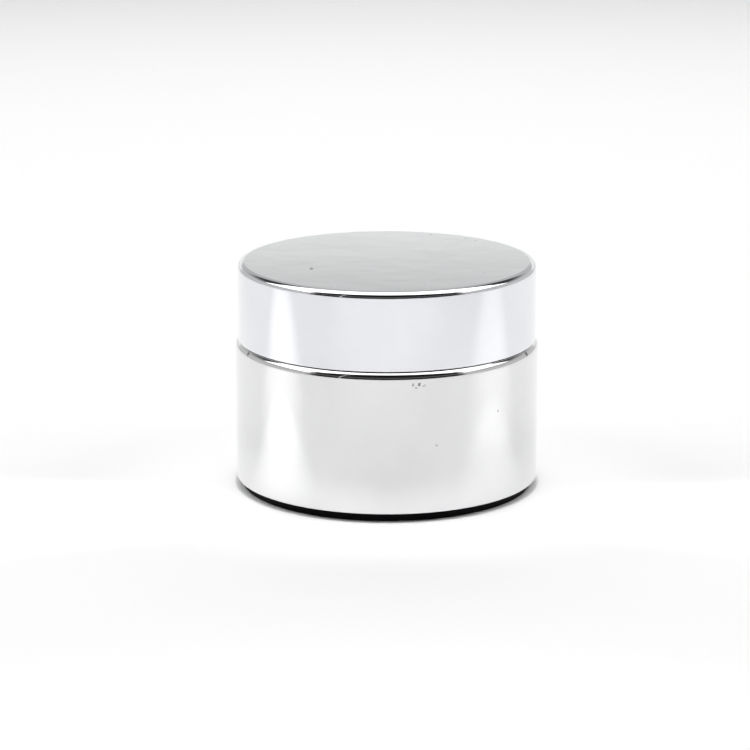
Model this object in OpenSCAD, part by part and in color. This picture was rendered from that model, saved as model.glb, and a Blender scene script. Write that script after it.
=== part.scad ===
// Double-wall cosmetic cream jar with a screw lid, standing closed.
// Origin: centre of the foot, on the surface the jar stands on. +Z is the jar's axis.

/* [Body] */
// Outside diameter of the jar body
jar_d = 60; // [56:0.5:66]
// Height of the whole closed jar
jar_h = 45; // [44:0.5:52]
// Wall of the outer shell
shell_wall = 1.6; // [1.2:0.1:2]
// Radius of the shell's rounded shoulder
shoulder_r = 1.95; // [1.8:0.05:2.1]
// Height of the dark foot that shows under the shell
foot_h = 1.7; // [1.2:0.1:2.4]
// How far the foot stands back from the shell's side
foot_inset = 1.2; // [0.9:0.1:1.3]

/* [Lid] */
// Outside diameter of the lid
lid_d = 58.9; // [58.7:0.1:59.2]
// Height of the lid
lid_h = 15.55; // [15:0.05:16]
// Side wall of the lid shell
lid_wall = 1.4; // [1.2:0.1:1.5]
// Thickness of the lid shell's top
lid_top = 1.5; // [1.2:0.1:1.6]
// Radius of the lid's rounded top edge
lid_edge_r = 1.3; // [0.8:0.1:1.4]
// How far the lid's lower edge drops below the shoulder's flat
lid_drop = 0.3; // [0.2:0.05:0.35]

/* [Cup and neck] */
// Outside diameter of the cup and its neck
neck_d = 46.8; // [45:0.2:47]
// Wall of the cup
cup_wall = 1.3; // [1:0.1:1.6]
// Inside depth of the cup, from its rim
cup_depth = 22.8; // [18:0.2:24]
// Radius inside the cup's bottom corner
cup_corner_r = 6; // [4:0.5:8]
// Thickness of the flange that sits in the shoulder
flange_t = 1; // [0.8:0.1:1.2]

/* [Thread] */
// Rise of the thread in one turn
thread_lead = 3.2; // [3:0.1:3.4]
// Height of the thread's crest over the wall it stands on
thread_depth = 1.1; // [0.9:0.05:1.15]
// Sweep of the thread on the neck, in degrees
neck_thread_sweep = 450; // [400:10:450]
// Sweep of the thread in the liner, in degrees
liner_thread_sweep = 360; // [300:10:360]

/* [Seals] */
// Thickness of the foam gasket
gasket_t = 1; // [0.6:0.1:1.2]
// Thickness of the sealing disc's rim
disc_t = 0.7; // [0.5:0.1:0.9]

/* [Hidden] */
$fn = 128;

over = 1;           // overshoot of cutting shapes
part_gap = 0.05;    // gap between flat faces of stacked pieces
soft_edge_r = 0.2;  // small moulded edge

jar_r = jar_d / 2;
shell_in_r = jar_r - shell_wall;
lid_r = lid_d / 2;
lid_in_r = lid_r - lid_wall;
lid_z = jar_h - lid_h;
lid_ceiling_z = jar_h - lid_top;
shoulder_z = lid_z + lid_drop;

// the lid's lower rim: a narrow land, then a chamfer that clears the rounded shoulder
lid_land = 0.15;
lid_chamfer_h = 0.85;

// cup, flange and the seat for the flange in the shoulder
neck_r = neck_d / 2;
cup_in_r = neck_r - cup_wall;
flange_r = neck_r + 3.4;
flange_z = shoulder_z - flange_t;
shoulder_under_z = flange_z - shell_wall;
hole_r = neck_r + 0.2;
cup_snap_r = 0.55;
key_count = 4;
key_w = 3;
key_r = neck_r + 1.4;
key_gap = 0.1;

// liner, from the lid's ceiling downwards
liner_t = 1.2;
liner_top_z = lid_ceiling_z - 0.1;
liner_in_r = neck_r + 1.6;
liner_r = liner_in_r + liner_t;
liner_z = lid_z + 1.15;
liner_rim_r = lid_in_r - 0.1;
liner_rim_h = 1;
liner_rib_count = 24;
liner_rib_w = 0.9;
liner_bead_r = 0.55;

// gasket under the liner's ceiling, then the sealing disc, then the cup's rim
gasket_r = liner_in_r - 0.3;
gasket_top_z = liner_top_z - liner_t - part_gap;
gasket_z = gasket_top_z - gasket_t;
disc_top_z = gasket_z - 0.1;
disc_r = neck_r + 0.1;
disc_z = disc_top_z - disc_t;
rim_z = disc_z - part_gap;
plug_r = cup_in_r - 0.1;
plug_wall = 1;
plug_z = rim_z - 2.1;
plug_panel_t = 0.8;

cup_floor_z = rim_z - cup_depth;
cup_z = cup_floor_z - cup_wall;

// pull tab of the sealing disc: a half ring with a bar, held up by a short post
tab_r = 10;
tab_w = 2.4;
tab_t = 0.8;
tab_lift = 0.5;
post_size = [6, 1.6];

// base cover
foot_r = jar_r - foot_inset;
foot_ring_w = 3;
foot_recess = 0.6;
plate_top_z = foot_recess + 1.8;
plug_ring_r = shell_in_r - 0.1;
plug_ring_wall = 1.4;
plug_ring_z = foot_h + 4.3;
snap_z = foot_h + 2.8;
snap_bead_r = 0.28;
snap_groove_r = 0.35;
hub_r = 10;
hub_wall = 1.4;
base_rib_count = 6;
base_rib_w = 1.2;
base_rib_h = 2.8;

// threads: a flank that narrows from root to crest, sunk a little into its wall
thread_root_half = 0.75;
thread_crest_half = 0.35;
thread_sink = 0.3;
thread_fade = 30;
thread_step = 5;
neck_thread_z = lid_z + 3.05;
liner_thread_start = 90;

// what is cut away to round an outer corner at [x, y]; dx and dy point to the outside
module corner_cut(x, y, r, dx = 1, dy = 1) {
    translate([x - dx * r, y - dy * r])
        difference() {
            translate([dx < 0 ? -r - over : 0, dy < 0 ? -r - over : 0])
                square(r + over);
            circle(r);
        }
}

// half section of a solid disc or drum, from z0 to z1, with rounded outer corners
module drum(r, z0, z1, top_r = 0, bottom_r = 0) {
    difference() {
        translate([0, z0])
            square([r, z1 - z0]);
        if (top_r > 0)
            corner_cut(r, z1, top_r);
        if (bottom_r > 0)
            corner_cut(r, z0, bottom_r, dy = -1);
    }
}

// one cross-section of a thread, as points around it at angle a and height z; grow is 0 at a faded end
function thread_ring(root_r, crest_r, a, z, grow) =
    let (out = sign(crest_r - root_r))
    let (sunk_r = root_r - out * thread_sink)
    let (top_r = root_r + grow * (crest_r - root_r))
    let (low_r = min(sunk_r, top_r), high_r = max(sunk_r, top_r))
    let (low_half = out > 0 ? thread_root_half : thread_crest_half)
    let (high_half = out > 0 ? thread_crest_half : thread_root_half)
    [
        for (p = [[low_r, -low_half], [high_r, -high_half], [high_r, high_half], [low_r, low_half]])
            [p[0] * cos(a), p[0] * sin(a), z + p[1]]
    ];

// right-hand thread that stands on the wall at root_r and reaches crest_r
module screw_thread(root_r, crest_r, start, sweep, z) {
    steps = sweep / thread_step;
    points = [
        for (i = [0:steps])
            let (turned = i * thread_step)
            let (grow = max(0.02, min(1, turned / thread_fade, (sweep - turned) / thread_fade)))
            each thread_ring(root_r, crest_r, start + turned, z + thread_lead * turned / 360, grow)
    ];
    sides = [
        for (i = [0:steps - 1], k = [0:3])
            let (a = 4 * i + k, b = 4 * i + (k + 1) % 4)
            each [[a, b, b + 4], [a, b + 4, a + 4]]
    ];
    last = 4 * steps;
    ends = [[3, 2, 1], [3, 1, 0], [last, last + 1, last + 2], [last, last + 2, last + 3]];
    polyhedron(points = points, faces = concat(sides, ends), convexity = 6);
}

// metallised outer shell: straight side, rounded shoulder, seat and keyways for the cup
module outer_jar() {
    color("silver")
        difference() {
            rotate_extrude()
                difference() {
                    drum(jar_r, foot_h, shoulder_z, shoulder_r, soft_edge_r);
                    drum(shell_in_r, foot_h - over, shoulder_under_z, top_r = 1);
                    translate([0, foot_h])
                        square([hole_r, jar_h]);
                    translate([0, flange_z])
                        square([flange_r + key_gap, jar_h]);
                    translate([shell_in_r, snap_z])
                        circle(snap_groove_r);
                }
            for (i = [0:key_count - 1])
                rotate([0, 0, i * 360 / key_count])
                    translate([0, -key_w / 2, shoulder_under_z - over])
                        cube([key_r, key_w, jar_h]);
        }
}

// dark foot and snap-in plug that close the shell from below, stiffened by a hub ring and ribs
module base_cover() {
    color("#1a1a1c") {
        rotate_extrude()
            difference() {
                union() {
                    drum(foot_r, 0, foot_h, bottom_r = 0.3);
                    drum(plug_ring_r, foot_h - 0.1, plug_ring_z, top_r = 0.5);
                    translate([plug_ring_r, snap_z])
                        circle(snap_bead_r);
                }
                drum(foot_r - foot_ring_w, -over, foot_recess);
                difference() {
                    translate([0, plate_top_z])
                        square([plug_ring_r - plug_ring_wall, jar_h]);
                    translate([hub_r - hub_wall, 0])
                        square([hub_wall, jar_h]);
                }
            }
        for (i = [0:base_rib_count - 1])
            rotate([0, 0, i * 360 / base_rib_count])
                translate([hub_r - hub_wall / 2, -base_rib_w / 2, plate_top_z - 0.1])
                    cube([plug_ring_r - hub_r, base_rib_w, base_rib_h]);
    }
}

// white cup for the cream, with its flange, keys, snap bead and threaded neck
module inner_cup() {
    color("white") {
        rotate_extrude()
            difference() {
                union() {
                    drum(neck_r, cup_z, rim_z, 0.3, cup_corner_r + cup_wall);
                    drum(flange_r, flange_z, shoulder_z, soft_edge_r);
                    translate([neck_r - 0.1, shoulder_under_z - cup_snap_r])
                        circle(cup_snap_r);
                }
                drum(cup_in_r, cup_floor_z, jar_h, bottom_r = cup_corner_r);
            }
        for (i = [0:key_count - 1])
            rotate([0, 0, i * 360 / key_count])
                translate([neck_r - 0.3, key_gap - key_w / 2, shoulder_under_z + key_gap])
                    cube([key_r - key_gap - neck_r + 0.3, key_w - 2 * key_gap, shell_wall]);
        screw_thread(neck_r, neck_r + thread_depth, 0, neck_thread_sweep, neck_thread_z);
    }
}

// flat half ring with a straight bar across its ends
module tab_outline() {
    intersection() {
        difference() {
            circle(tab_r);
            difference() {
                circle(tab_r - tab_w);
                translate([-tab_r, -post_size[1] / 2])
                    square([2 * tab_r, tab_w]);
            }
        }
        translate([-tab_r, -post_size[1] / 2])
            square([2 * tab_r, tab_r + post_size[1]]);
    }
}

// thin plug that covers the cream, with a pull tab in its recess
module sealing_disc() {
    color("whitesmoke") {
        rotate_extrude()
            difference() {
                union() {
                    drum(disc_r, disc_z, disc_top_z, soft_edge_r, soft_edge_r);
                    drum(plug_r, plug_z, disc_top_z - soft_edge_r, bottom_r = 0.4);
                }
                drum(plug_r - plug_wall, plug_z + plug_panel_t, jar_h, bottom_r = 0.4);
            }
        translate([0, 0, plug_z + plug_panel_t + tab_lift])
            linear_extrude(tab_t)
                tab_outline();
        translate([-post_size[0] / 2, -post_size[1] / 2, plug_z + plug_panel_t - 0.1])
            cube([post_size[0], post_size[1], tab_lift + 0.2]);
    }
}

// foam disc held under the liner's ceiling
module lid_gasket() {
    color("snow")
        rotate_extrude()
            drum(gasket_r, gasket_z, gasket_top_z, 0.3, 0.3);
}

// threaded inner cap, locked into the lid shell by its ribs and rim
module lid_liner() {
    color("ghostwhite") {
        rotate_extrude()
            difference() {
                union() {
                    drum(liner_r, liner_z, liner_top_z, 0.4);
                    drum(liner_rim_r, liner_z, liner_z + liner_rim_h, soft_edge_r, soft_edge_r);
                }
                difference() {
                    translate([0, liner_z - over])
                        square([liner_in_r, liner_top_z - liner_t - liner_z + over]);
                    translate([liner_in_r + 0.05, gasket_z - part_gap - liner_bead_r])
                        circle(liner_bead_r);
                }
            }
        for (i = [0:liner_rib_count - 1])
            rotate([0, 0, i * 360 / liner_rib_count])
                translate([liner_r - 0.2, -liner_rib_w / 2, liner_z + liner_rim_h - 0.1])
                    cube([liner_rim_r - liner_r + 0.1, liner_rib_w, liner_top_z - liner_z - 3]);
        screw_thread(
            liner_in_r,
            liner_in_r - thread_depth,
            liner_thread_start,
            liner_thread_sweep,
            neck_thread_z + thread_lead * (liner_thread_start / 360 - 0.5)
        );
    }
}

// metallised outer cap with a rounded top edge
module lid_shell() {
    color("silver")
        rotate_extrude()
            difference() {
                drum(lid_r, lid_z, jar_h, lid_edge_r, soft_edge_r);
                drum(lid_in_r, lid_z - over, lid_ceiling_z, top_r = 0.8);
                polygon([
                    [lid_in_r - over, lid_z - over],
                    [lid_r - lid_land, lid_z - over],
                    [lid_r - lid_land, lid_z],
                    [lid_in_r, lid_z + lid_chamfer_h],
                    [lid_in_r - over, lid_z + lid_chamfer_h]
                ]);
            }
}

outer_jar();
base_cover();
inner_cup();
sealing_disc();
lid_gasket();
lid_liner();
lid_shell();
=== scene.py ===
import math

import bmesh
import bpy
from mathutils import Matrix, Vector


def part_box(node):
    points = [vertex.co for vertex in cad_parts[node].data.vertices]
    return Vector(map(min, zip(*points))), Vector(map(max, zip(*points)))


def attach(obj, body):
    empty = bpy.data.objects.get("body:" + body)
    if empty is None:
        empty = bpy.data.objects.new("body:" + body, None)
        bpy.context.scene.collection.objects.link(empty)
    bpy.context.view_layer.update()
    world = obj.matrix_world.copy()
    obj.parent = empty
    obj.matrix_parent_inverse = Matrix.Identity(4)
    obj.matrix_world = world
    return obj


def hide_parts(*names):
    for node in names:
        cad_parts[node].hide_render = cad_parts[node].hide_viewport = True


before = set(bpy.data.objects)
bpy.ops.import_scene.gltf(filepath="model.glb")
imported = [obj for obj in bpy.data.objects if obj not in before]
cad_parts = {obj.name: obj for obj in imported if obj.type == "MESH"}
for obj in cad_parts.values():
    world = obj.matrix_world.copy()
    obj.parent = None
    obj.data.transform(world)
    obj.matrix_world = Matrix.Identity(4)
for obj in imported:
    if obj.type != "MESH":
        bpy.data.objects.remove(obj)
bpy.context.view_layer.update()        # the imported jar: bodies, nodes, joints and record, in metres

mm = 0.001
fullTurn = 2 * math.pi

# camera first: where it stands, what it looks at, and how far the jar sits off the middle of the frame
cameraView = {
    "distance": 588.6 * mm,
    "elevation": 14.09,
    "lookHeight": 24 * mm,
    "lens": 142.04,
    "sensor": 36.0,
    "leftOfJar": 2.33 * mm,
    "belowJar": 2.36 * mm,
}


def placeCamera(view):
    tilt = math.radians(view["elevation"])
    back = Vector((0, -math.cos(tilt), math.sin(tilt)))
    up = Vector((0, math.sin(tilt), math.cos(tilt)))
    look = Vector((0, 0, view["lookHeight"]))
    aim = look - Vector((1, 0, 0)) * view["leftOfJar"] - up * view["belowJar"]
    data = bpy.data.cameras.new("studioCamera")
    data.lens = view["lens"]
    data.sensor_width = view["sensor"]
    data.clip_start = 10 * mm
    data.clip_end = 20
    camera = bpy.data.objects.new("studioCamera", data)
    bpy.context.scene.collection.objects.link(camera)
    camera.location = look + back * view["distance"]
    camera.rotation_mode = "QUATERNION"
    camera.rotation_quaternion = (aim - camera.location).to_track_quat("-Z", "Y")
    bpy.context.scene.camera = camera


placeCamera(cameraView)
print("camera placed")


# a profile is a list of corners (radius, height, rounding); guards are extra rings that keep flats flat
guard = 0.05 * mm
weld = 0.5e-6
roundSegments = 10
ringSteps = 192
creaseAngle = math.radians(34)


def guardedCorners(corners, closed):
    points = []
    count = len(corners)
    for i, corner in enumerate(corners):
        rounding = corner[2] if len(corner) > 2 else 0
        here = Vector((corner[0], 0, corner[1]))
        hasBefore = closed or i > 0
        hasAfter = closed or i < count - 1
        if rounding and hasBefore:
            before = corners[i - 1]
            way = (Vector((before[0], 0, before[1])) - here).normalized()
            points.append((here + way * (rounding + guard), 0))
        points.append((here, rounding))
        if rounding and hasAfter:
            after = corners[(i + 1) % count]
            way = (Vector((after[0], 0, after[1])) - here).normalized()
            points.append((here + way * (rounding + guard), 0))
    return points


def turnProfile(corners, closed=False, steps=ringSteps):
    bm = bmesh.new()
    made = [(bm.verts.new(place), rounding) for place, rounding in guardedCorners(corners, closed)]
    line = [vert for vert, rounding in made]
    pairs = list(zip(line, line[1:]))
    if closed:
        pairs.append((line[-1], line[0]))
    for first, second in pairs:
        bm.edges.new((first, second))
    for vert, rounding in made:
        if rounding:
            bmesh.ops.bevel(
                bm, geom=[vert], offset=rounding, offset_type="OFFSET", segments=roundSegments,
                profile=0.5, affect="VERTICES", material=-1
            )
    bmesh.ops.spin(
        bm, geom=bm.verts[:] + bm.edges[:], cent=(0, 0, 0), axis=(0, 0, 1), dvec=(0, 0, 0),
        angle=fullTurn, steps=steps, use_merge=True, use_duplicate=False
    )
    bmesh.ops.remove_doubles(bm, verts=bm.verts[:], dist=weld)
    bmesh.ops.recalc_face_normals(bm, faces=bm.faces[:])
    return bm


def finishPiece(bm, name, body, node, material):
    mesh = bpy.data.meshes.new(name)
    bm.to_mesh(mesh)
    bm.free()
    mesh.shade_smooth()
    mesh.set_sharp_from_angle(angle=creaseAngle)
    piece = bpy.data.objects.new(name, mesh)
    bpy.context.scene.collection.objects.link(piece)
    mesh.materials.append(material)
    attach(piece, body)
    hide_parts(node)
    print("made", name, len(mesh.polygons), "faces")


# a block with softened edges, added to a piece; turned about the axis of the jar
def addBlock(bm, size, middle, turn=0, soft=0.15 * mm):
    made = bmesh.ops.create_cube(bm, size=1)["verts"]
    bmesh.ops.scale(bm, vec=size, verts=made)
    bmesh.ops.translate(bm, vec=middle, verts=made)
    bmesh.ops.rotate(bm, cent=(0, 0, 0), matrix=Matrix.Rotation(turn, 3, "Z"), verts=made)
    edges = list({edge for vert in made for edge in vert.link_edges})
    bmesh.ops.bevel(
        bm, geom=edges, offset=soft, offset_type="OFFSET", segments=3, profile=0.5,
        affect="EDGES", material=-1
    )


def radiusOf(vert):
    return math.hypot(vert.co.x, vert.co.y)


def setRadius(vert, radius):
    scale = radius / radiusOf(vert)
    vert.co.x *= scale
    vert.co.y *= scale


def smoothStep(value):
    held = min(1, max(0, value))
    return held * held * (3 - 2 * held)


def levels(start, end, step):
    count = round((end - start) / step)
    return [start + (end - start) * i / count for i in range(count + 1)]


# a rounded screw thread, raised out of a plain wall by moving its vertices in or out
def raiseThread(bm, wallRadius, thread, outward):
    for vert in bm.verts:
        if abs(radiusOf(vert) - wallRadius) > weld:
            continue
        around = math.degrees(math.atan2(vert.co.y, vert.co.x))
        height = 0
        for turn in range(-1, 4):
            along = around + 360 * turn - thread["start"]
            if along < 0 or along > thread["sweep"]:
                continue
            middle = thread["z"] + thread["lead"] * along / 360
            away = abs(vert.co.z - middle)
            flank = smoothStep((thread["rootHalf"] - away) / (thread["rootHalf"] - thread["crestHalf"]))
            fade = smoothStep(min(along, thread["sweep"] - along) / thread["fade"])
            height = max(height, flank * fade * thread["depth"])
        if height:
            setRadius(vert, wallRadius + height * outward)


# nodes of a material: a small set of helpers, all on the piece's own coordinates
def startMaterial(name, **inputs):
    material = bpy.data.materials.new(name)
    material.use_nodes = True
    shader = material.node_tree.nodes["Principled BSDF"]
    for key, value in inputs.items():
        shader.inputs[key.replace("_", " ")].default_value = value
    coords = material.node_tree.nodes.new("ShaderNodeTexCoord")
    return material, shader, coords.outputs["Object"]


def addNode(material, kind, settings=None, **links):
    node = material.node_tree.nodes.new(kind)
    for key, value in (settings or {}).items():
        if key in node.inputs:
            node.inputs[key].default_value = value
        else:
            setattr(node, key, value)
    for key, source in links.items():
        material.node_tree.links.new(source, node.inputs[key.replace("_", " ")])
    return node


def stretched(material, coords, scale, turn=(0, 0, 0)):
    mapping = addNode(material, "ShaderNodeMapping", {"Scale": scale, "Rotation": turn}, Vector=coords)
    return mapping.outputs["Vector"]


def cloud(material, coords, scale, detail=2.0, rough=0.5):
    values = {"Scale": scale, "Detail": detail, "Roughness": rough}
    noise = addNode(material, "ShaderNodeTexNoise", values, Vector=coords)
    return noise.outputs["Fac"]


def between(material, value, low, high, toLow, toHigh, smooth=False):
    span = addNode(
        material, "ShaderNodeMapRange",
        {"From Min": low, "From Max": high, "To Min": toLow, "To Max": toHigh}, Value=value
    )
    span.interpolation_type = "SMOOTHSTEP" if smooth else "LINEAR"
    return span.outputs["Result"]


def combine(material, how, first, second):
    node = addNode(material, "ShaderNodeMath", {"operation": how})
    material.node_tree.links.new(first, node.inputs[0])
    material.node_tree.links.new(second, node.inputs[1])
    return node.outputs["Value"]


def relief(material, height, depth, under=None):
    bump = addNode(material, "ShaderNodeBump", {"Strength": 1.0, "Distance": depth}, Height=height)
    if under is not None:
        material.node_tree.links.new(under, bump.inputs["Normal"])
    return bump.outputs["Normal"]


def wire(material, source, shader, name):
    material.node_tree.links.new(source, shader.inputs[name])


# small flaws in the metal skin: place, radius and strength of each
def flaws(material, coords, marks):
    ragged = between(material, cloud(material, coords, 2200, 2.0), 0.3, 0.7, -0.18 * mm, 0.18 * mm)
    total = None
    for place, size, strength in marks:
        far = addNode(material, "ShaderNodeVectorMath", {"operation": "DISTANCE"})
        far.inputs[1].default_value = [part * mm for part in place]
        material.node_tree.links.new(coords, far.inputs[0])
        uneven = combine(material, "ADD", far.outputs["Value"], ragged)
        spot = between(material, uneven, 0.35 * size * mm, size * mm, strength, 0, smooth=True)
        total = spot if total is None else combine(material, "MAXIMUM", total, spot)
    return total


# where the metal skin stops: all that is nearer the axis than the radius and below the height is bare
def bareInside(material, coords, radius, height):
    flat = addNode(material, "ShaderNodeVectorMath", {"operation": "MULTIPLY"})
    flat.inputs[1].default_value = (1, 1, 0)
    material.node_tree.links.new(coords, flat.inputs[0])
    reach = addNode(material, "ShaderNodeVectorMath", {"operation": "LENGTH"})
    material.node_tree.links.new(flat.outputs["Vector"], reach.inputs[0])
    split = addNode(material, "ShaderNodeSeparateXYZ", Vector=coords)
    isInside = between(material, reach.outputs["Value"], radius - guard, radius, 1, 0)
    isBelow = between(material, split.outputs["Z"], height - guard, height, 1, 0)
    return combine(material, "MULTIPLY", isInside, isBelow)


# a colour, or a mix made before, that changes to another one where the share is 1
def mixedColour(material, share, colour, other):
    tone = addNode(material, "ShaderNodeMix", {"data_type": "RGBA"})
    material.node_tree.links.new(share, tone.inputs[0])
    if isinstance(colour, bpy.types.NodeSocket):
        material.node_tree.links.new(colour, tone.inputs[6])
    else:
        tone.inputs[6].default_value = colour
    tone.inputs[7].default_value = other
    return tone.outputs[2]


# polish is the skin's roughness; haze, worn and dull are what haze, hairlines and bare spots add to it
metallised = {
    "polish": 0.025,
    "haze": 0.03,
    "worn": 0.07,
    "dull": 0.4,
    "mottle": 0.95,
    "lacquer": 0.35,
    "hazeScale": 55,
    "waveScale": 160,
    "waveDepth": 0.01 * mm,
    "grainScale": 2600,
    "grainDepth": 0.0004 * mm,
    "hairlines": [((0.2, 0.1, 0.5), (2400, 70, 240)), ((0.5, 0.3, 2.1), (2900, 90, 260))],
    "hairlineDepth": -0.0015 * mm,
    "bareColour": (0.03, 0.03, 0.032, 1),
}
jarSkin = {
    "colour": (0.785, 0.785, 0.79, 1),
    "bareRadius": 28.45 * mm,
    "bareHeight": 27.3 * mm,
}
# the lid's skin is the same metallised finish as the jar's; its bluer tint is a painted reflection of the
# bluish floor in front of it
lidSkinWithPaintedTint = {
    "colour": (0.815, 0.82, 0.85, 1),
    "bareRadius": 29.34 * mm,
    "bareHeight": 43.6 * mm,
}
# place and radius of each flaw in millimetres, and how much of the metal is gone there
jarMarks = [
    ((4.96, -29.58, 27.22), 0.32, 0.4),
    ((6.2, -29.35, 27.2), 0.4, 0.6),
    ((7.14, -29.14, 27.0), 0.32, 0.35),
    ((5.5, -29.49, 26.6), 0.28, 0.3),
    ((9.48, -28.46, 14.98), 0.3, 0.3),
    ((21.51, -20.91, 19.85), 0.36, 0.25),
    ((-26.85, -12.5, 29.0), 0.6, 1),
    ((27.12, -12.05, 28.9), 0.65, 1),
    ((-17.0, 24.72, 20.4), 0.36, 0.6),
    ((24.6, 17.2, 9.3), 0.3, 0.5),
]
lidMarks = [
    ((-14.6, -8.8, 45.0), 0.5, 1),
    ((-14.65, -8.1, 45.0), 0.6, 1),
    ((-14.6, -7.4, 45.0), 0.45, 0.9),
    ((18.91, -11.68, 45.0), 0.35, 0.4),
    ((8.99, 24.83, 45.0), 0.5, 0.35),
    ((16.08, 20.77, 45.0), 0.45, 0.3),
    ((18.06, 18.77, 45.0), 0.4, 0.3),
    ((-6.2, 28.79, 38.5), 0.35, 0.5),
]


# vacuum-metallised plastic under a clear lacquer: mirror bright, with faint waviness and hairline scratches
def metallisedPlastic(name, skin, look, marks):
    colour = skin["colour"]
    material, shader, coords = startMaterial(
        name, Base_Color=colour, Metallic=1.0, Roughness=look["polish"],
        Coat_Weight=look["lacquer"], Coat_Roughness=0.02, Coat_IOR=1.5
    )
    wave = cloud(material, coords, look["waveScale"], 1.0)
    grain = cloud(material, coords, look["grainScale"], 3.0)
    haze = cloud(material, coords, look["hazeScale"], 4.0, 0.6)
    lines = None
    for turn, stretch in look["hairlines"]:
        strand = cloud(material, stretched(material, coords, stretch, turn), 1.0, 1.0)
        thin = between(material, strand, 0.708, 0.735, 0, 1)
        lines = thin if lines is None else combine(material, "MAXIMUM", lines, thin)
    hazeRough = between(material, haze, 0.35, 0.75, look["polish"], look["polish"] + look["haze"])
    lineRough = between(material, lines, 0, 1, 0, look["worn"])
    pits = flaws(material, coords, marks)
    bare = bareInside(material, coords, skin["bareRadius"], skin["bareHeight"])
    loss = combine(material, "MAXIMUM", pits, bare)
    dull = between(material, loss, 0, 1, 0, look["dull"])
    shine = combine(material, "ADD", hazeRough, lineRough)
    wire(material, combine(material, "ADD", shine, dull), shader, "Roughness")
    dimmed = tuple(look["mottle"] * part for part in colour[:3]) + (1,)
    mottled = mixedColour(material, between(material, haze, 0.38, 0.66, 0, 1), colour, dimmed)
    wire(material, mixedColour(material, loss, mottled, look["bareColour"]), shader, "Base Color")
    wire(material, between(material, loss, 0, 1, 1, 0), shader, "Metallic")
    soft = relief(material, wave, look["waveDepth"])
    fine = relief(material, grain, look["grainDepth"], under=soft)
    wire(material, relief(material, lines, look["hairlineDepth"], under=fine), shader, "Normal")
    return material


# gloss is the roughness, glow the light that passes through, shine the strength of the highlights
moulded = {
    # the base is darker and duller than black plastic would be: its colour and shine are turned down to
    # paint the shade in the gap under the shell's edge
    "blackBaseAndGapShade": {
        "colour": (0.002, 0.002, 0.0022, 1), "gloss": 0.5, "grainScale": 3200, "grainDepth": 0.004 * mm,
        "glow": 0.0, "shine": 0.06
    },
    "whiteCup": {
        "colour": (0.86, 0.86, 0.84, 1), "gloss": 0.3, "grainScale": 1500, "grainDepth": 0.001 * mm,
        "glow": 0.25, "shine": 0.5
    },
    "whiteLiner": {
        "colour": (0.85, 0.855, 0.85, 1), "gloss": 0.33, "grainScale": 1500, "grainDepth": 0.001 * mm,
        "glow": 0.2, "shine": 0.5
    },
    "sealPlastic": {
        "colour": (0.8, 0.82, 0.81, 1), "gloss": 0.36, "grainScale": 1900, "grainDepth": 0.002 * mm,
        "glow": 0.35, "shine": 0.5
    },
}
blotchScale = 90
blotchDepth = 0.01 * mm
blotchShade = 0.985


def mouldedPlastic(name):
    look = moulded[name]
    colour = look["colour"]
    gloss = look["gloss"]
    material, shader, coords = startMaterial(
        name, Base_Color=colour, Roughness=gloss, IOR=1.49,
        Subsurface_Weight=look["glow"], Subsurface_Scale=1.5 * mm, Specular_IOR_Level=look["shine"]
    )
    blotch = cloud(material, coords, blotchScale, 3.0)
    fine = cloud(material, coords, look["grainScale"], 3.0)
    wire(material, between(material, blotch, 0.3, 0.7, gloss - 0.03, gloss + 0.04), shader, "Roughness")
    darker = tuple(blotchShade * part for part in colour[:3]) + (1,)
    share = between(material, blotch, 0.3, 0.7, 0, 1)
    wire(material, mixedColour(material, share, colour, darker), shader, "Base Color")
    slow = relief(material, blotch, blotchDepth)
    wire(material, relief(material, fine, look["grainDepth"], under=slow), shader, "Normal")
    return material


foam = {
    "colour": (0.84, 0.84, 0.82, 1),
    "cellScale": 2600,
    "cellDepth": 0.03 * mm,
    "poreScale": 900,
    "poreDepth": 0.05 * mm,
}


def closedCellFoam(name, look):
    material, shader, coords = startMaterial(name, Base_Color=look["colour"], Roughness=0.9)
    cells = addNode(material, "ShaderNodeTexVoronoi", {"Scale": look["cellScale"]}, Vector=coords)
    pores = addNode(material, "ShaderNodeTexVoronoi", {"Scale": look["poreScale"]}, Vector=coords)
    small = relief(material, cells.outputs["Distance"], look["cellDepth"])
    large = relief(material, pores.outputs["Distance"], look["poreDepth"], under=small)
    wire(material, between(material, cells.outputs["Distance"], 0, 0.6, 0.8, 0.97), shader, "Roughness")
    wire(material, large, shader, "Normal")
    return material


jarMetal = metallisedPlastic("jarMetal", jarSkin, metallised, jarMarks)
lidMetal = metallisedPlastic("lidMetal", lidSkinWithPaintedTint, metallised, lidMarks)
blackBaseAndGapShade = mouldedPlastic("blackBaseAndGapShade")
whiteCup = mouldedPlastic("whiteCup")
whiteLiner = mouldedPlastic("whiteLiner")
sealPlastic = mouldedPlastic("sealPlastic")
gasketFoam = closedCellFoam("gasketFoam", foam)
print("materials made")


lidShell = {
    "wall": 1.4 * mm,
    "top": 1.5 * mm,
    "edge": 1.3 * mm,
    "lip": 0.08 * mm,
    "land": 0.13 * mm,
    "raise": 0.16 * mm,
    "chamfer": 0.85 * mm,
    "insideRound": 0.8 * mm,
}


def makeLidShell(part):
    low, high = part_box("lid_shell")
    outer = high.x
    inner = outer - part["wall"]
    ceiling = high.z - part["top"]
    edge = low.z + part["raise"]
    corners = [
        (0, high.z),
        (outer, high.z, part["edge"]),
        (outer, edge, part["lip"]),
        (outer - part["land"], edge),
        (inner, edge + part["chamfer"]),
        (inner, ceiling, part["insideRound"]),
        (0, ceiling),
    ]
    finishPiece(turnProfile(corners), "lidShell", "lid", "lid_shell", lidMetal)


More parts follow.
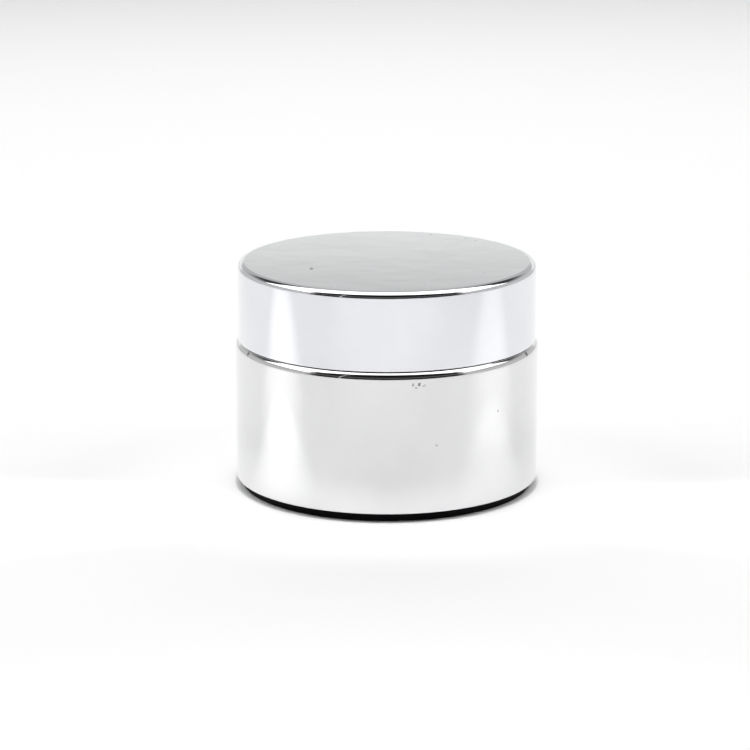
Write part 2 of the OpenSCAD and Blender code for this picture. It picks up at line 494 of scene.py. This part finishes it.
outerJar = {
    "wall": 1.6 * mm,
    "shoulder": 1.7 * mm,
    "lip": 0.2 * mm,
    "edge": 0.1 * mm,
    "seatRadius": 26.9 * mm,
    "seatDepth": 1.0 * mm,
    "holeRadius": 23.6 * mm,
    "plate": 2.6 * mm,
    "cornerInside": 1.0 * mm,
    "grooveHeight": 2.8 * mm,
    "groove": 0.33 * mm,
    "keys": 4,
    "keyHalf": 3.8,
    "keyRadius": 24.8 * mm,
}


# how far a vertex lies from the nearest of the evenly spaced keys, in degrees
def fromKey(vert, keys):
    around = math.degrees(math.atan2(vert.co.y, vert.co.x))
    step = 360 / keys
    return abs((around + step / 2) % step - step / 2)


def makeOuterJar(part):
    low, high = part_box("outer_jar")
    outer = high.x
    inner = outer - part["wall"]
    under = high.z - part["plate"]
    grooveZ = low.z + part["grooveHeight"]
    corners = [
        (outer, low.z, part["lip"]),
        (outer, high.z, part["shoulder"]),
        (part["seatRadius"], high.z, part["edge"]),
        (part["seatRadius"], high.z - part["seatDepth"], part["edge"]),
        (part["holeRadius"], high.z - part["seatDepth"], part["edge"]),
        (part["holeRadius"], under, part["edge"]),
        (inner, under, part["cornerInside"]),
        (inner, grooveZ + part["groove"]),
        (inner + part["groove"], grooveZ, part["edge"]),
        (inner, grooveZ - part["groove"]),
        (inner, low.z, part["edge"]),
    ]
    bm = turnProfile(corners, closed=True)
    for vert in bm.verts:
        if radiusOf(vert) < part["holeRadius"] + part["edge"] + guard and vert.co.z < high.z - part["edge"]:
            if fromKey(vert, part["keys"]) < part["keyHalf"]:
                setRadius(vert, radiusOf(vert) + part["keyRadius"] - part["holeRadius"])
    finishPiece(bm, "outerJar", "jar", "outer_jar", jarMetal)


baseCover = {
    "footHeight": 1.7 * mm,
    "ring": 3.0 * mm,
    "recess": 0.6 * mm,
    "plate": 1.8 * mm,
    "plugInset": 0.5 * mm,
    "plugWall": 1.4 * mm,
    "snapHeight": 4.5 * mm,
    "snap": 0.26 * mm,
    "soft": 0.25 * mm,
    "snapSoft": 0.1 * mm,
    "plugSoft": 0.4 * mm,
    "hubRadius": 10 * mm,
    "hubWall": 1.4 * mm,
    "hubFillet": 0.2 * mm,
    "ribs": 6,
    "ribWidth": 1.2 * mm,
    "ribHeight": 2.8 * mm,
    "ribSink": 0.1 * mm,
}


def makeBaseCover(part):
    low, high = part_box("base_cover")
    foot = high.x
    plug = foot - part["plugInset"]
    floorTop = part["recess"] + part["plate"]
    hub = part["hubRadius"]
    corners = [
        (0, low.z + part["recess"]),
        (foot - part["ring"], low.z + part["recess"], part["soft"]),
        (foot - part["ring"], low.z, part["soft"]),
        (foot, low.z, part["soft"]),
        (foot, part["footHeight"], part["snapSoft"]),
        (plug, part["footHeight"]),
        (plug, part["snapHeight"] - part["snap"]),
        (plug + part["snap"], part["snapHeight"], part["snapSoft"]),
        (plug, part["snapHeight"] + part["snap"]),
        (plug, high.z, part["plugSoft"]),
        (plug - part["plugWall"], high.z, part["plugSoft"]),
        (plug - part["plugWall"], floorTop, part["plugSoft"]),
        (hub, floorTop, part["hubFillet"]),
        (hub, high.z, part["soft"]),
        (hub - part["hubWall"], high.z, part["soft"]),
        (hub - part["hubWall"], floorTop, part["hubFillet"]),
        (0, floorTop),
    ]
    bm = turnProfile(corners)
    start = hub - part["hubWall"] / 2
    end = plug - part["plugWall"] / 2
    size = (end - start, part["ribWidth"], part["ribHeight"])
    middle = ((start + end) / 2, 0, floorTop + part["ribHeight"] / 2 - part["ribSink"])
    for i in range(part["ribs"]):
        addBlock(bm, size, middle, fullTurn * i / part["ribs"])
    finishPiece(bm, "baseCover", "jar", "base_cover", blackBaseAndGapShade)


neckThread = {
    "z": 32.5 * mm,
    "lead": 3.2 * mm,
    "start": 0,
    "sweep": 450,
    "fade": 30,
    "depth": 1.1 * mm,
    "rootHalf": 0.85 * mm,
    "crestHalf": 0.25 * mm,
}
linerThread = dict(neckThread, z=31.7 * mm, start=90, sweep=360)
threadStep = 0.1 * mm

innerCup = {
    "neckRadius": 23.4 * mm,
    "wall": 1.3 * mm,
    "cornerRound": 6 * mm,
    "flange": 1.0 * mm,
    "snapDrop": 3.15 * mm,
    "snap": 0.45 * mm,
    "snapSoft": 0.15 * mm,
    "flangeSoft": 0.2 * mm,
    "neckFillet": 0.3 * mm,
    "lip": 0.35 * mm,
    "threadMargin": 1.0 * mm,
    "keyDrop": 2.5 * mm,
    "keyHalf": 3.4,
    "keyRadius": 24.7 * mm,
}


def threadLevels(thread, margin):
    bottom = thread["z"] - margin
    top = thread["z"] + thread["lead"] * thread["sweep"] / 360 + margin
    return levels(bottom, top, threadStep)


def makeInnerCup(part):
    low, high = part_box("inner_cup")
    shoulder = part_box("outer_jar")[1].z
    neck = part["neckRadius"]
    inside = neck - part["wall"]
    snapZ = shoulder - part["snapDrop"]
    flangeZ = shoulder - part["flange"]
    corners = [
        (0, low.z),
        (neck, low.z, part["cornerRound"] + part["wall"]),
        (neck, snapZ - part["snap"]),
        (neck + part["snap"], snapZ, part["snapSoft"]),
        (neck, snapZ + part["snap"]),
        (neck, shoulder - part["keyDrop"] - guard),
        (neck, shoulder - part["keyDrop"]),
        (neck, flangeZ - guard),
        (neck, flangeZ),
        (high.x, flangeZ, part["snapSoft"]),
        (high.x, shoulder, part["flangeSoft"]),
        (neck, shoulder, part["neckFillet"]),
    ]
    corners += [(neck, z) for z in threadLevels(neckThread, part["threadMargin"])]
    corners += [
        (neck, high.z, part["lip"]),
        (inside, high.z, part["lip"]),
        (inside, low.z + part["wall"], part["cornerRound"]),
        (0, low.z + part["wall"]),
    ]
    bm = turnProfile(corners)
    raiseThread(bm, neck, neckThread, 1)
    for vert in bm.verts:
        isNeck = abs(radiusOf(vert) - neck) < weld
        if isNeck and shoulder - part["keyDrop"] - weld < vert.co.z < flangeZ - weld:
            if fromKey(vert, outerJar["keys"]) < part["keyHalf"]:
                setRadius(vert, part["keyRadius"])
    bmesh.ops.recalc_face_normals(bm, faces=bm.faces[:])
    finishPiece(bm, "innerCup", "jar", "inner_cup", whiteCup)


sealingDisc = {
    "plugRadius": 22.0 * mm,
    "plugWall": 1.0 * mm,
    "panel": 0.8 * mm,
    "rim": 0.7 * mm,
    "soft": 0.2 * mm,
    "corner": 0.4 * mm,
    "step": 0.1 * mm,
    "tabLift": 0.5 * mm,
    "tab": 0.8 * mm,
    "tabSoft": 0.12 * mm,
    "tabRadius": 10 * mm,
    "tabWidth": 2.4 * mm,
    "tabSteps": 48,
    "post": (6 * mm, 1.6 * mm),
    "postSink": 0.1 * mm,
}


# a level edge where two faces meet at a sharp angle
def isRim(edge):
    if len(edge.link_faces) != 2:
        return False
    level = abs(edge.verts[0].co.z - edge.verts[1].co.z) < weld
    return level and edge.calc_face_angle(0) > math.radians(60)


# the tab that pulls the disc out: a half ring with a bar across its ends, on a short post
def addTab(bm, part, low):
    outer = part["tabRadius"]
    inner = outer - part["tabWidth"]
    barLow = -part["post"][1] / 2
    barHigh = barLow + part["tabWidth"]
    startAngle = math.asin(barHigh / inner)
    outline = [(-outer, barLow), (outer, barLow)]
    for i in range(part["tabSteps"] + 1):
        angle = math.pi * i / part["tabSteps"]
        outline.append((outer * math.cos(angle), outer * math.sin(angle)))
    window = []
    for i in range(part["tabSteps"] + 1):
        angle = startAngle + (math.pi - 2 * startAngle) * i / part["tabSteps"]
        window.append((inner * math.cos(angle), inner * math.sin(angle)))
    edges = []
    for loop in (outline, window):
        verts = [bm.verts.new((x, y, low)) for x, y in loop]
        edges += [bm.edges.new(pair) for pair in zip(verts, verts[1:] + verts[:1])]
    filled = bmesh.ops.triangle_fill(bm, use_beauty=True, use_dissolve=False, edges=edges)
    faces = [item for item in filled["geom"] if isinstance(item, bmesh.types.BMFace)]
    raised = bmesh.ops.extrude_face_region(bm, geom=faces, use_keep_orig=True)
    top = [item for item in raised["geom"] if isinstance(item, bmesh.types.BMVert)]
    bmesh.ops.translate(bm, vec=(0, 0, part["tab"]), verts=top)
    rims = [edge for edge in edges if edge.is_valid]
    rims += [edge for edge in {edge for vert in top for edge in vert.link_edges} if isRim(edge)]
    bmesh.ops.bevel(
        bm, geom=rims, offset=part["tabSoft"], offset_type="OFFSET", segments=2, profile=0.5,
        affect="EDGES", material=-1
    )


def makeSealingDisc(part):
    low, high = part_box("sealing_disc")
    plug = part["plugRadius"]
    rimZ = high.z - part["rim"]
    panelTop = low.z + part["panel"]
    corners = [
        (0, panelTop),
        (plug - part["plugWall"], panelTop, part["corner"]),
        (plug - part["plugWall"], high.z, part["soft"]),
        (high.x, high.z, part["soft"]),
        (high.x, rimZ, part["soft"]),
        (plug, rimZ, part["step"]),
        (plug, low.z, part["corner"]),
        (0, low.z),
    ]
    bm = turnProfile(corners)
    tabLow = panelTop + part["tabLift"]
    postSize = (*part["post"], part["tabLift"] + 2 * part["postSink"])
    addBlock(bm, postSize, (0, 0, panelTop + part["tabLift"] / 2))
    addTab(bm, part, tabLow)
    bmesh.ops.recalc_face_normals(bm, faces=bm.faces[:])
    finishPiece(bm, "sealingDisc", "seal", "sealing_disc", sealPlastic)


lidGasket = {
    "soft": 0.3 * mm,
}


def makeGasket(part):
    low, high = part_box("lid_gasket")
    soft = part["soft"]
    corners = [(0, high.z), (high.x, high.z, soft), (high.x, low.z, soft), (0, low.z)]
    finishPiece(turnProfile(corners), "lidGasket", "gasket", "lid_gasket", gasketFoam)


lidLiner = {
    "skirtRadius": 26.2 * mm,
    "wall": 1.2 * mm,
    "rim": 1.0 * mm,
    "soft": 0.2 * mm,
    "topEdge": 0.4 * mm,
    "ceilingFillet": 0.15 * mm,
    "threadMargin": 0.8 * mm,
    "bead": 0.5 * mm,
    "beadDrop": 2.85 * mm,
    "ribEvery": 8,
    "ribTop": 1.6 * mm,
    "ribGap": 0.15 * mm,
    "ribClear": 0.05 * mm,
}


def makeLidLiner(part):
    low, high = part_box("lid_liner")
    skirt = part["skirtRadius"]
    inside = skirt - part["wall"]
    ceiling = high.z - part["wall"]
    rimTop = low.z + part["rim"]
    beadZ = high.z - part["beadDrop"]
    ribLow = rimTop + part["ribGap"]
    ribHigh = high.z - part["ribTop"]
    corners = [
        (0, high.z),
        (skirt, high.z, part["topEdge"]),
        (skirt, ribHigh),
        (skirt, ribLow),
        (skirt, rimTop),
        (high.x, rimTop, part["soft"]),
        (high.x, low.z, part["soft"]),
        (inside, low.z, part["soft"]),
    ]
    corners += [(inside, z) for z in threadLevels(linerThread, part["threadMargin"])]
    corners += [
        (inside, beadZ - part["bead"]),
        (inside - part["bead"], beadZ, part["soft"]),
        (inside, beadZ + part["bead"]),
        (inside, ceiling, part["ceilingFillet"]),
        (0, ceiling),
    ]
    bm = turnProfile(corners)
    raiseThread(bm, inside, linerThread, -1)
    middle = (ribLow + ribHigh) / 2
    ribFaces = []
    for face in bm.faces:
        centre = face.calc_center_median()
        isMiddle = abs(centre.z - middle) < mm
        isSkirt = math.hypot(centre.x, centre.y) > skirt - 0.5 * mm
        if not (isMiddle and isSkirt):    # ribs only on the outer wall of the skirt
            continue
        column = int(round(math.atan2(centre.y, centre.x) / fullTurn * ringSteps - 0.5))
        if column % part["ribEvery"] == 0:
            ribFaces.append(face)
    ribs = bmesh.ops.extrude_face_region(bm, geom=ribFaces)
    for item in ribs["geom"]:
        if isinstance(item, bmesh.types.BMVert):
            setRadius(item, high.x - part["ribClear"])
    bmesh.ops.delete(bm, geom=[face for face in ribFaces if face.is_valid], context="FACES_ONLY")
    bmesh.ops.recalc_face_normals(bm, faces=bm.faces[:])
    finishPiece(bm, "lidLiner", "lid", "lid_liner", whiteLiner)


makeOuterJar(outerJar)
makeBaseCover(baseCover)
makeInnerCup(innerCup)
makeSealingDisc(sealingDisc)
makeGasket(lidGasket)
makeLidLiner(lidLiner)
makeLidShell(lidShell)


# plain pale floor, far larger than the view and just under the foot
studioFloor = {
    "size": 3.0,
    "drop": 0.01 * mm,
    "tone": 0.87,
    "roughness": 0.9,
}


def makeFloor(look):
    tone = look["tone"]
    bm = bmesh.new()
    bmesh.ops.create_grid(bm, x_segments=1, y_segments=1, size=look["size"])
    bmesh.ops.translate(bm, verts=bm.verts, vec=(0, 0, -look["drop"]))
    mesh = bpy.data.meshes.new("studioFloor")
    bm.to_mesh(mesh)
    bm.free()
    material, shader, coords = startMaterial(
        "paleFloor", Base_Color=(tone, tone, tone, 1), Roughness=look["roughness"], Specular_IOR_Level=0.1
    )
    mesh.materials.append(material)
    floor = bpy.data.objects.new("studioFloor", mesh)
    bpy.context.scene.collection.objects.link(floor)


def addSoftbox(name, place, aim, width, depth, power):
    data = bpy.data.lights.new(name, "AREA")
    data.shape = "RECTANGLE"
    data.size = width
    data.size_y = depth
    data.energy = power
    light = bpy.data.objects.new(name, data)
    bpy.context.scene.collection.objects.link(light)
    light.location = place
    light.rotation_mode = "QUATERNION"
    light.rotation_quaternion = (Vector(aim) - Vector(place)).to_track_quat("-Z", "Y")
    light.visible_camera = False
    return light


# a spotlight straight down that makes an oval pool on the floor; its glow is what it adds to the floor
def addPool(place, reach, height, blur, glow):
    data = bpy.data.lights.new("floorPool", "SPOT")
    data.spot_size = 2 * math.atan(reach[0] / height)
    data.spot_blend = blur
    data.shadow_soft_size = 0
    data.energy = 4 * math.pi ** 2 * height ** 2 * glow / studioFloor["tone"]
    pool = bpy.data.objects.new("floorPool", data)
    bpy.context.scene.collection.objects.link(pool)
    pool.location = (place[0], place[1], height)
    pool.scale = (1, reach[1] / reach[0], 1)
    pool.visible_camera = False
    pool.visible_glossy = False


# a softbox overhead, one high at each side, a hidden wash for the floor behind, and pools of light on the
# floor, each with place, reach across and along, blur and glow; a sky gives rise in degrees and brightness
studio = {
    "overheadHeight": 0.85,
    "overheadFront": 60,
    "overheadBack": 66,
    "overheadWidth": 1.6,
    "overheadGlow": 1.79,
    "sideReach": 0.8,
    "sideLow": 0.42,
    "sideFront": 0.425,
    "sideBack": 0.32,
    "sideGlow": (1.9, 1.55),
    "washPlace": (0, 0.62, 0.55),
    "washSize": (1.0, 0.35),
    "washGlow": 1.6,
    "poolHeight": 3.0,
    "pools": [
        ((-0.155, -0.027), (0.115, 0.047), 1.0, 0.3),
        ((0.155, -0.027), (0.115, 0.054), 1.0, 0.2),
        ((-0.068, -0.024), (0.05, 0.026), 1.0, 0.34),
        ((0.068, -0.024), (0.05, 0.027), 1.0, 0.18),
        ((0, -0.006), (0.066, 0.056), 1.0, 0.24),
        ((0, -0.02), (0.045, 0.035), 1.0, 0.12),
        ((0, -0.2), (0.18, 0.12), 1.0, 0.11),
    ],
    "frontAngles": (54, 65),
    "backAngles": (148, 158),
    "slitAngle": -35,
    "slitHalfWidth": 0.9,
    "slitGlow": 0.9,
    "backSky": [
        (0, 0.95), (9, 0.95), (11.2, 0.9), (11.9, 0.78), (12.8, 0.6), (16, 0.52), (45, 0.5), (60, 0.7)
    ],
    "sideSky": [
        (0, 0.65), (14, 0.6), (20, 0.52), (24, 0.38), (28, 0.2), (33, 0.05), (50, 0.04), (60, 0.4)
    ],
    "frontSky": [
        (0, 0.006), (11, 0.01), (15, 0.12), (21, 0.13), (26, 0.02), (50, 0.004), (60, 0.1), (70, 0.4)
    ],
    "backTint": (0.985, 1.0, 0.985),
}


# the power that gives a rectangular light a wanted brightness as seen
def powerFor(glow, width, depth):
    return glow * width * depth * math.pi


def lightStudio(look):
    height = look["overheadHeight"]
    front = height / math.tan(math.radians(look["overheadFront"]))
    back = height / math.tan(math.radians(look["overheadBack"]))
    middle = (back - front) / 2
    width = look["overheadWidth"]
    addSoftbox(
        "overheadSoftbox", (0, middle, height), (0, middle, 0), width, front + back,
        powerFor(look["overheadGlow"], width, front + back)
    )
    sideDepth = look["sideFront"] + look["sideBack"]
    sideMiddle = (look["sideBack"] - look["sideFront"]) / 2
    sideRise = height - look["sideLow"]
    sideZ = (height + look["sideLow"]) / 2
    for side, glow in zip((-1, 1), look["sideGlow"]):
        x = side * look["sideReach"]
        addSoftbox(
            "sideSoftbox", (x, sideMiddle, sideZ), (0, sideMiddle, sideZ), sideDepth, sideRise,
            powerFor(glow, sideDepth, sideRise)
        )
    wash = addSoftbox(
        "floorWash", look["washPlace"], (0, look["washPlace"][1], 0), *look["washSize"],
        powerFor(look["washGlow"], *look["washSize"])
    )
    wash.visible_glossy = False
    for place, reach, blur, glow in look["pools"]:
        addPool(place, reach, look["poolHeight"], blur, glow)


def skyRamp(nodes, stops, tint):
    ramp = nodes.new("ShaderNodeValToRGB")
    while len(ramp.color_ramp.elements) < len(stops):
        ramp.color_ramp.elements.new(1.0)
    for element, (rise, value) in zip(ramp.color_ramp.elements, stops):
        element.position = math.sin(math.radians(rise))
        element.color = (value * tint[0], value * tint[1], value * tint[2], 1)
    return ramp


# the room around the lights, by direction: one sky behind the jar, one at its sides, a dark one in front
def paintRoom(look):
    world = bpy.data.worlds.new("studioRoom")
    bpy.context.scene.world = world
    world.use_nodes = True
    nodes = world.node_tree.nodes
    links = world.node_tree.links
    coords = nodes.new("ShaderNodeTexCoord")
    split = nodes.new("ShaderNodeSeparateXYZ")
    links.new(coords.outputs["Generated"], split.inputs[0])
    level = nodes.new("ShaderNodeVectorMath")
    level.operation = "MULTIPLY"
    level.inputs[1].default_value = (1, 1, 0)
    links.new(coords.outputs["Generated"], level.inputs[0])
    unit = nodes.new("ShaderNodeVectorMath")
    unit.operation = "NORMALIZE"
    links.new(level.outputs["Vector"], unit.inputs[0])

    def along(direction):
        dot = nodes.new("ShaderNodeVectorMath")
        dot.operation = "DOT_PRODUCT"
        dot.inputs[1].default_value = direction
        links.new(unit.outputs["Vector"], dot.inputs[0])
        return dot.outputs["Value"]

    def span(value, start, end, high=1):
        node = nodes.new("ShaderNodeMapRange")
        node.interpolation_type = "SMOOTHSTEP"
        node.inputs["From Min"].default_value = start
        node.inputs["From Max"].default_value = end
        node.inputs["To Max"].default_value = high
        links.new(value, node.inputs["Value"])
        return node.outputs["Result"]

    def blend(share, under, over, how="MIX"):
        mix = nodes.new("ShaderNodeMix")
        mix.data_type = "RGBA"
        mix.blend_type = how
        links.new(share, mix.inputs[0])
        links.new(under, mix.inputs[6])
        links.new(over, mix.inputs[7])
        return mix.outputs[2]

    def sky(name, tint=(1, 1, 1)):
        ramp = skyRamp(nodes, look[name], tint)
        links.new(split.outputs["Z"], ramp.inputs["Fac"])
        return ramp.outputs["Color"]

    towardsFront = along((0, -1, 0))
    frontIn, frontOut = (math.cos(math.radians(angle)) for angle in look["frontAngles"])
    backOut, backIn = (math.cos(math.radians(angle)) for angle in look["backAngles"])
    isFront = span(towardsFront, frontOut, frontIn)
    isBack = span(towardsFront, backOut, backIn)
    room = blend(isBack, sky("sideSky"), sky("backSky", look["backTint"]))
    room = blend(isFront, room, sky("frontSky"))
    # a narrow bright gap in the dark front
    turn = math.radians(look["slitAngle"])
    away = nodes.new("ShaderNodeMath")
    away.operation = "ABSOLUTE"
    links.new(along((math.cos(turn), math.sin(turn), 0)), away.inputs[0])
    gap = span(away.outputs["Value"], math.sin(math.radians(look["slitHalfWidth"])), 0, look["slitGlow"])
    room = blend(isFront, room, blend(isFront, room, gap, "ADD"))
    links.new(room, nodes["Background"].inputs["Color"])


makeFloor(studioFloor)
lightStudio(studio)
paintRoom(studio)
scene = bpy.context.scene
scene.view_settings.view_transform = "Standard"
scene.view_settings.look = "None"
print("studio lit")
